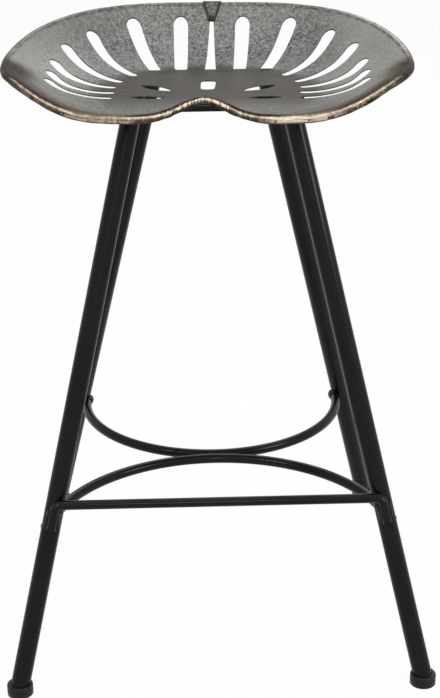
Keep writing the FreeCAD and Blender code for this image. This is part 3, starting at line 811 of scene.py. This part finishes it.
def makePan(form, slots, rim, frames):
    points, faces, uvs = seatSkin(form, rim, frames)
    pan = meshObject("seatPan", points, faces, [steel, slotWall])
    addUv(pan, uvs)
    if pan.data.polygons[len(faces) // 2].normal.z < 0:
        pan.data.flip_normals()
    thicken(pan, form["sheet"])
    cutter = slotCutter(form, slots)
    cut = pan.modifiers.new("slots", "BOOLEAN")
    cut.operation = "DIFFERENCE"
    cut.solver = "EXACT"
    cut.object = cutter
    applied(pan)
    bpy.data.objects.remove(cutter)
    lip = pan.modifiers.new("lip", "BEVEL")
    lip.width = form["lip"]
    lip.segments = 2
    lip.limit_method = "ANGLE"
    lip.angle_limit = math.radians(form["lipAngle"])
    lip.harden_normals = True
    smoothed(pan.data)
    seated(pan, "seat_pan", form)


def makeRim(form, rim, frames, hammer):
    points, faces, uvs = rollSkin(form, rim, frames, hammer)
    roll = meshObject("seatRim", points, faces, [bronze])
    addUv(roll, uvs)
    if roll.data.polygons[5 * len(rim)].normal.dot(Vector(frames[5][0])) < 0:
        roll.data.flip_normals()
    thicken(roll, form["rollSheet"])
    seated(roll, "seat_rim", form)


seatRim = rimLine(seatForm)
seatFrames = rollFrames(seatForm, seatRim)
makePan(seatForm, seatSlots, seatRim, seatFrames)
makeRim(seatForm, seatRim, seatFrames, rimHammer)
print("seat made")

wedgePatch = {
    "topHalf": 0.0094, "tipHalf": 0.0036, "flare": 1.3,   # half widths in metres
    "tipShare": 0.918,                  # where the tip lies, 1 is the rim
    "bend": 0.72, "overRoll": 0.30,     # above the bend it laps this far round the roll
    "lift": 0.0010, "sheet": 0.0011, "rows": 30, "columns": 12,
}

patchWeld = {
    "seam": 0.00075, "seamLump": 0.25, "seamSpots": 40, "seamSide": 1.02, "seamLift": 0.0004,
    "tip": 0.0027, "tipLump": 0.3, "tipSpots": 9, "tipLift": 0.0006,   # radii in metres
    "tipFrom": -0.0022, "tipTo": 0.0040, "tipSlope": 0.8,
    "turns": 10, "waveScale": 900, "ripple": 1.7,
}


def patchSpot(form, look, across, along):   # across -1 to 1, along 0 at the tip to 1 over the rim
    bend = look["bend"]
    rise = min(1.0, along / bend)
    half = look["tipHalf"] + (look["topHalf"] - look["tipHalf"]) * rise ** look["flare"]
    t = look["tipShare"] + (1 - look["tipShare"]) * rise
    share = max(0.0, (along - bend) / (1 - bend)) * look["overRoll"]
    step = across * half / (np.linalg.norm(seatRim[1] - seatRim[0]) * t)
    low = math.floor(step)

    def spot(i):
        if share > 0:
            return rollSpot(form, seatRim, seatFrames, i, share)
        return skinSpot(form, seatRim, seatFrames, i, t)

    return spot(low) * (1 - step + low) + spot(low + 1) * (step - low)


def lifted(form, look, across, along, lift):   # off the surface, square to its slope there
    here = patchSpot(form, look, across, along)
    right, left = (patchSpot(form, look, across + step, along) for step in (0.05, -0.05))
    after = patchSpot(form, look, across, min(1, along + 0.02))
    before = patchSpot(form, look, across, max(0, along - 0.02))
    return here + unit(np.cross(right - left, after - before)) * lift


def lumpyRod(look, spots, radius, lump):   # a weld bead with rounded ends along the spots
    spots = np.array(spots)
    askew = np.array([0.3, 0.2, 0.93])   # a direction that no bead runs in
    count, turns = len(spots), look["turns"]
    points = []
    for k, here in enumerate(spots):
        ahead = unit(spots[min(k + 1, count - 1)] - spots[max(k - 1, 0)])
        side = unit(np.cross(ahead, askew))
        rise = np.cross(side, ahead)
        end = 2 * k / (count - 1) - 1
        fat = radius * max(0.05, (1 - end ** 6)) ** 0.5
        ripple = lump * 0.5 * math.sin(k * look["ripple"])
        for n in range(turns):
            angle = 2 * math.pi * n / turns
            away = side * math.cos(angle) + rise * math.sin(angle)
            wave = lump * noise.noise(Vector(here + away * radius) * look["waveScale"])
            points.append(here + away * fat * (1 + wave + ripple))
    faces = [tuple(range(turns - 1, -1, -1)), tuple(range((count - 1) * turns, count * turns))]
    for k in range(count - 1):
        for n in range(turns):
            m = (n + 1) % turns
            a, b = k * turns, (k + 1) * turns
            faces.append((a + n, a + m, b + m, b + n))
    return points, faces


def makePatch(form, look):
    points, uvs, faces = [], [], []
    rows, columns = look["rows"], look["columns"]
    for r in range(rows + 1):
        for c in range(columns + 1):
            across, along = 2 * c / columns - 1, r / rows
            points.append(lifted(form, look, across, along, look["lift"]))
            uvs.append((across, along))
    for r in range(rows):
        for c in range(columns):
            a = r * (columns + 1) + c
            faces.append((a, a + 1, a + columns + 2, a + columns + 1))
    wedge = meshObject("wedgePatch", points, faces, [patch])
    addUv(wedge, uvs)
    thicken(wedge, look["sheet"])
    seated(wedge, "back_gusset", form)


def makePatchWeld(form, look, weld):
    beads = []
    for side in (-weld["seamSide"], weld["seamSide"]):
        seam = [lifted(form, look, side, k / weld["seamSpots"], weld["seamLift"])
                for k in range(weld["seamSpots"] + 1)]
        beads.append((seam, weld["seam"], weld["seamLump"]))
    foot = lifted(form, look, 0, 0.0, weld["tipLift"])
    run = np.linspace(weld["tipFrom"], weld["tipTo"], weld["tipSpots"])
    tip = [foot + np.array([0, y, (y - run[0]) * weld["tipSlope"]]) for y in run]
    beads.append((tip, weld["tip"], weld["tipLump"]))
    points, faces = [], []
    for bead in beads:
        more, sides = lumpyRod(weld, *bead)
        faces.extend([tuple(i + len(points) for i in face) for face in sides])
        points.extend(more)
    made = meshObject("patchWeld", points, faces, [rustyWeld])
    seated(made, "gusset_weld", form)


makePatch(seatForm, wedgePatch)
makePatchWeld(seatForm, wedgePatch, patchWeld)
print("patch made")


def dress(material, *words):   # every piece whose name holds one of the words
    for name, part in nodes.items():
        if any(word in name for word in words):
            part.data.materials.clear()
            part.data.materials.append(material)


dress(paint, "leg_", "_bar", "stretcher", "_rail")
dress(rubber, "foot_cap")
dress(paintedWeld, "weld")   # last, since a bar's or rail's weld holds its name too
print("frame dressed")

studio = {
    "floor": 0.86, "floorGlow": 0.94, "floorHalf": 12, "world": 0.55,
    "aim": (0, 0, 0.35),
    "lamps": [   # name, place, size in metres and power in watts
        ("keyLamp", (-1.5, -1.7, 2.3), 0.8, 19.5),
        ("fillLamp", (1.9, -1.2, 1.5), 0.9, 24.0),
        ("backLamp", (0.3, 2.0, 2.2), 1.2, 16.0),
        ("topLamp", (0.0, -0.1, 2.7), 0.8, 12.0),
        ("frontLamp", (0.0, -2.9, 1.7), 0.45, 9.0),
    ],
}


def seenRay(g):   # 1 for rays from the camera and for mirrored or passed rays
    light = g.node("ShaderNodeLightPath")
    seen = light["Is Camera Ray"].most(light["Is Glossy Ray"])
    return seen.most(light["Is Transmission Ray"])


def makeFloor(look):
    g = newFinish("studioFloor")
    cloth = g.node("ShaderNodeBsdfDiffuse", {}, {"Color": tone(look["floor"])})["BSDF"]
    glow = g.node("ShaderNodeEmission", {}, {"Color": tone(1.0), "Strength": 1.0})["Emission"]
    both = g.node("ShaderNodeMixShader", {}, {
        0: seenRay(g) * look["floorGlow"], 1: cloth, 2: glow})
    g.node("ShaderNodeOutputMaterial", {}, {"Surface": both[0]})
    half = look["floorHalf"]
    corners = [(-half, -half, 0), (half, -half, 0), (half, half, 0), (-half, half, 0)]
    floor = meshObject("studioFloor", corners, [(0, 1, 2, 3)], [g.owner], smooth=False)


def makeWorld(look):
    world = bpy.data.worlds.new("studioWorld")
    bpy.context.scene.world = world
    g = Graph(world)
    strength = look["world"] + seenRay(g) * (1.0 - look["world"])
    sky = g.node("ShaderNodeBackground", {}, {"Color": tone(1.0), "Strength": strength})
    g.node("ShaderNodeOutputWorld", {}, {"Surface": sky[0]})


def makeLamps(look):
    for name, place, size, power in look["lamps"]:
        data = bpy.data.lights.new(name, "AREA")
        data.shape = "SQUARE"
        data.size = size
        data.energy = power
        lamp = bpy.data.objects.new(name, data)
        lamp.location = place
        aim = Vector(look["aim"]) - Vector(place)
        lamp.rotation_euler = aim.to_track_quat("-Z", "Y").to_euler()
        bpy.context.scene.collection.objects.link(lamp)


makeFloor(studio)
makeWorld(studio)
makeLamps(studio)
bpy.context.scene.view_settings.view_transform = "Standard"
print("studio lit")
